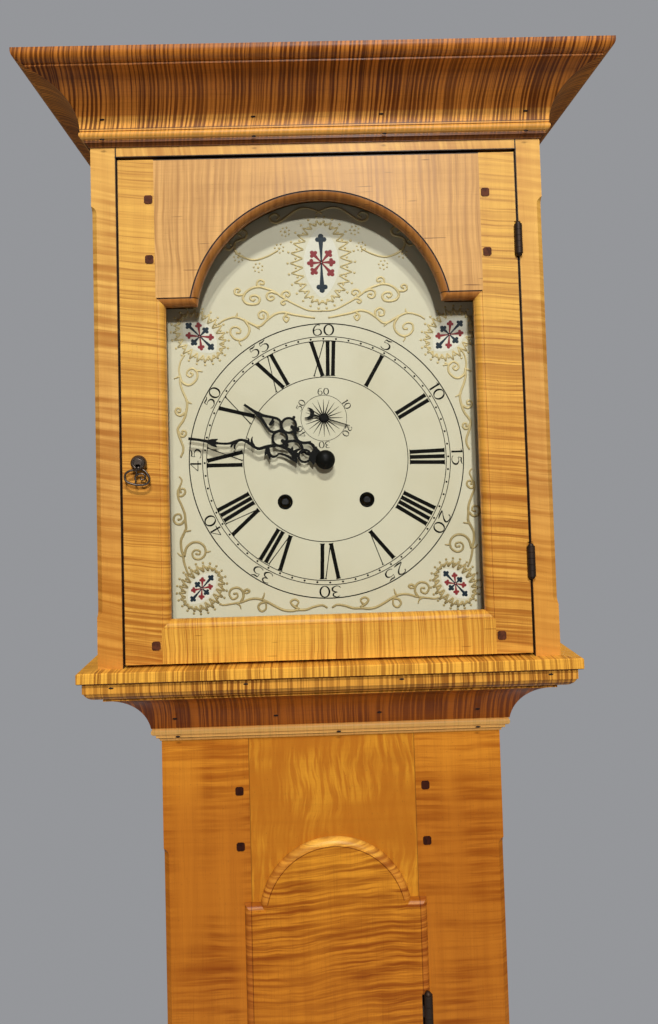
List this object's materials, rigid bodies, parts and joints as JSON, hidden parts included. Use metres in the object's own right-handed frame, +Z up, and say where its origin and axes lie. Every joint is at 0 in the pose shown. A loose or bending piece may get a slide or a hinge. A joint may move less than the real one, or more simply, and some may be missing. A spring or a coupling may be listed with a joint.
{
  "type": "longcase clock",
  "caption": "Tall wooden longcase clock with a flat cornice, an arched glazed hood door over a painted dial, a lipped trunk door, and a weight-driven striking movement with a pendulum.",
  "frame": {"origin": "centre of the overall box at the floor", "axes": "+X to the right seen from the front, +Y to the wall, +Z up"},
  "size_m": [0.544, 0.302, 2.133],
  "materials": {
    "maple": "curly figure, satin varnish",
    "pine": "plain planed",
    "walnut": "oiled",
    "iron": "dark worn",
    "hands": "blackened",
    "brass": "satin",
    "steel": "satin",
    "dial": "painted sheet iron",
    "glass": "clear",
    "weights": "painted",
    "gut": "twisted gut"
  },
  "bodies": {
    "case": {"back_board": "pine", "trunk_sides": "maple", "trunk_stiles": "maple", "trunk_rails": "maple", "trunk_pegs": "walnut", "waist_moulding": "maple", "base_boards": "maple", "base_mouldings": "maple", "bracket_feet": "maple", "seat_board": "pine", "trunk_hinge_leaves": "iron", "dial": "dial", "movement_plates": "brass", "back_cock": "brass", "bell": "brass", "going_line": "gut", "strike_line": "gut"},
    "hood": {"hood_sides": "maple", "hood_front_frame": "maple", "hood_top_board": "pine", "hood_base_frame": "maple", "cornice_front": "maple", "cornice_returns": "maple", "hood_mask": "pine", "hood_hinge_leaves": "iron"},
    "hood_door": {"hood_door_stiles": "maple", "hood_door_top_rail": "maple", "hood_door_bottom_rail": "maple", "hood_door_glass": "glass", "hood_door_pegs": "walnut", "hood_door_hinges": "iron", "hood_door_lock": "brass"},
    "door_key": {"hood_door_key": "iron"},
    "key_bow": {"key_bow": "iron"},
    "lock_bolt": {"hood_lock_bolt": "steel"},
    "trunk_door": {"trunk_door_panel": "maple", "trunk_door_hinges": "iron"},
    "door_knob": {"trunk_door_knob": "walnut"},
    "centre": {"centre_wheel": "brass", "minute_hand": "hands"},
    "hour": {"hour_wheel": "brass", "hour_hand": "hands"},
    "motion": {"minute_wheel": "brass"},
    "intermediate": {"intermediate_wheel": "brass"},
    "third": {"third_wheel": "brass"},
    "escape": {"escape_wheel": "brass", "seconds_hand": "hands"},
    "going_great": {"going_great_wheel": "brass"},
    "going_barrel": {"going_barrel": "brass"},
    "anchor": {"anchor": "steel"},
    "pendulum": {"pendulum_rod": "steel", "pendulum_bob": "brass"},
    "going_weight": {"going_weight": "weights"},
    "strike_great": {"strike_great_wheel": "brass"},
    "strike_barrel": {"strike_barrel": "brass"},
    "pin": {"pin_wheel": "brass"},
    "gathering": {"gathering_wheel": "brass"},
    "fly": {"fly": "brass"},
    "hammer": {"hammer": "steel"},
    "strike_weight": {"strike_weight": "weights"}
  },
  "joints": [
    {"name": "hood_slide", "type": "slide", "parent": "case", "child": "hood", "axis": [0, -1, 0], "range_m": [0, 0.24]},
    {"name": "hood_door_hinge", "type": "hinge", "parent": "hood", "child": "hood_door", "pos_m": [0.1905, -0.0966, 1.811], "axis": [0, 0, 1], "range_deg": [0, 115]},
    {"name": "key_turn", "type": "hinge", "parent": "hood_door", "child": "door_key", "pos_m": [-0.17275, -0.094, 1.76], "axis": [0, 1, 0], "range_deg": [0, 90]},
    {"name": "key_bow_hinge", "type": "hinge", "parent": "door_key", "child": "key_bow", "pos_m": [-0.17275, -0.1023, 1.7554], "axis": [-1, 0, 0], "range_deg": [0, 90]},
    {"name": "lock_bolt_slide", "type": "slide", "parent": "hood_door", "child": "lock_bolt", "axis": [-1, 0, 0], "range_m": [0, 0.007]},
    {"name": "trunk_door_hinge", "type": "hinge", "parent": "case", "child": "trunk_door", "pos_m": [0.0858, -0.0525, 1.081], "axis": [0, 0, 1], "range_deg": [0, 110]},
    {"name": "door_knob_turn", "type": "hinge", "parent": "trunk_door", "child": "door_knob", "pos_m": [-0.068, -0.0445, 1.075], "axis": [0, 1, 0], "range_deg": [0, 90]},
    {"name": "minute_arbor_turn", "type": "hinge", "parent": "case", "child": "centre", "pos_m": [0.0013, 0, 1.7585], "axis": [0, 1, 0], "continuous": true},
    {"name": "hour_pipe_turn", "type": "hinge", "parent": "case", "child": "hour", "pos_m": [0.0013, 0, 1.7585], "axis": [0, 1, 0], "continuous": true},
    {"name": "minute_wheel_turn", "type": "hinge", "parent": "case", "child": "motion", "pos_m": [-0.01567, 0, 1.74153], "axis": [0, 1, 0], "continuous": true},
    {"name": "intermediate_turn", "type": "hinge", "parent": "case", "child": "intermediate", "pos_m": [0.0213, 0, 1.7485], "axis": [0, 1, 0], "continuous": true},
    {"name": "third_turn", "type": "hinge", "parent": "case", "child": "third", "pos_m": [0.00638, 0, 1.77966], "axis": [0, 1, 0], "continuous": true},
    {"name": "seconds_arbor_turn", "type": "hinge", "parent": "case", "child": "escape", "pos_m": [0.0013, 0, 1.7995], "axis": [0, 1, 0], "continuous": true},
    {"name": "going_great_turn", "type": "hinge", "parent": "case", "child": "going_great", "pos_m": [0.0413, 0, 1.7185], "axis": [0, 1, 0], "continuous": true},
    {"name": "going_barrel_turn", "type": "hinge", "parent": "case", "child": "going_barrel", "pos_m": [0.0413, 0, 1.7185], "axis": [0, 1, 0], "range_deg": [-2045, 0]},
    {"name": "pendulum_swing", "type": "hinge", "parent": "case", "child": "pendulum", "pos_m": [0.0013, 0.063, 1.8235], "axis": [0, 1, 0], "range_deg": [-2.5, 2.5]},
    {"name": "anchor_rock", "type": "hinge", "parent": "case", "child": "anchor", "pos_m": [0.0013, 0, 1.8235], "axis": [0, 1, 0], "range_deg": [-2.6, 2.6]},
    {"name": "going_weight_slide", "type": "slide", "parent": "case", "child": "going_weight", "axis": [0, 0, 1], "range_m": [0, 0.88], "deforming": ["going_line"]},
    {"name": "gathering_turn", "type": "hinge", "parent": "case", "child": "gathering", "pos_m": [-0.03894, 0, 1.77695], "axis": [0, 1, 0], "continuous": true},
    {"name": "pin_wheel_turn", "type": "hinge", "parent": "case", "child": "pin", "pos_m": [-0.045, 0, 1.75435], "axis": [0, 1, 0], "continuous": true},
    {"name": "fly_turn", "type": "hinge", "parent": "case", "child": "fly", "pos_m": [-0.02949, 0, 1.79332], "axis": [0, 1, 0], "continuous": true},
    {"name": "strike_great_turn", "type": "hinge", "parent": "case", "child": "strike_great", "pos_m": [-0.0387, 0, 1.7185], "axis": [0, 1, 0], "continuous": true},
    {"name": "strike_barrel_turn", "type": "hinge", "parent": "case", "child": "strike_barrel", "pos_m": [-0.0387, 0, 1.7185], "axis": [0, 1, 0], "range_deg": [0, 2045]},
    {"name": "strike_weight_slide", "type": "slide", "parent": "case", "child": "strike_weight", "axis": [0, 0, 1], "range_m": [0, 0.88], "deforming": ["strike_line"]},
    {"name": "hammer_lift", "type": "hinge", "parent": "case", "child": "hammer", "pos_m": [-0.0607, 0, 1.7925], "axis": [0, -1, 0], "range_deg": [0, 8], "stiffness_Nm_per_rad": 0.05, "springref_deg": -2.86}
  ],
  "couplings": [
    {"joint": "hour_pipe_turn", "follows": "minute_arbor_turn", "ratio": 0.083333},
    {"joint": "minute_wheel_turn", "follows": "minute_arbor_turn", "ratio": -1},
    {"joint": "intermediate_turn", "follows": "minute_arbor_turn", "ratio": -0.55556},
    {"joint": "going_great_turn", "follows": "minute_arbor_turn", "ratio": 0.069444},
    {"joint": "third_turn", "follows": "minute_arbor_turn", "ratio": -7.5},
    {"joint": "seconds_arbor_turn", "follows": "minute_arbor_turn", "ratio": 60},
    {"joint": "going_barrel_turn", "follows": "going_weight_slide", "rad_per_m": -40.404},
    {"joint": "strike_barrel_turn", "follows": "strike_weight_slide", "rad_per_m": 40.404},
    {"joint": "anchor_rock", "follows": "pendulum_swing", "ratio": 1},
    {"joint": "lock_bolt_slide", "follows": "key_turn", "m_per_rad": 0.004456},
    {"joint": "pin_wheel_turn", "follows": "gathering_turn", "ratio": -0.125},
    {"joint": "strike_great_turn", "follows": "gathering_turn", "ratio": 0.010417},
    {"joint": "fly_turn", "follows": "gathering_turn", "ratio": -8}
  ]
}
